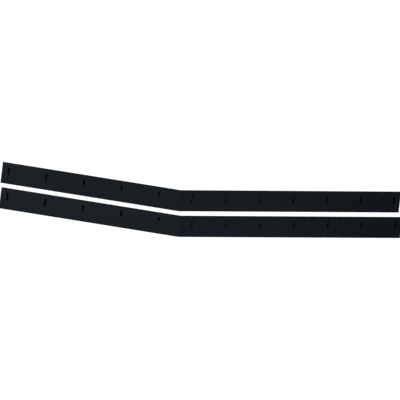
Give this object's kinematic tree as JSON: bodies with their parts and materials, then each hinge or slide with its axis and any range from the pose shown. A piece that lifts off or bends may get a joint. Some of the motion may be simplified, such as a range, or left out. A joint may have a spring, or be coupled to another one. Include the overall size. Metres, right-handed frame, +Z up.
{
  "type": "plow wear bar pair",
  "caption": "Pair of V-bent flat steel wear bars, the bolt-on bottom edges of an ATV plow blade, each with a row of upright bolt slots near its upper edge.",
  "frame": {"origin": "middle of the pair's bounding box, on the surface that the bars stand on", "axes": "+Z up, from the wearing edge to the slotted edge; +X along the pair, to the right seen from the front; the noses of the bends point to -Y and the second bar stands behind the first along +Y"},
  "size_m": [1.4282, 0.855, 0.0762],
  "materials": {
    "black_powder_coat": "satin black powder coat on steel"
  },
  "bodies": {
    "root": {"front_wear_bar": "black_powder_coat", "rear_wear_bar": "black_powder_coat"}
  },
  "joints": []
}
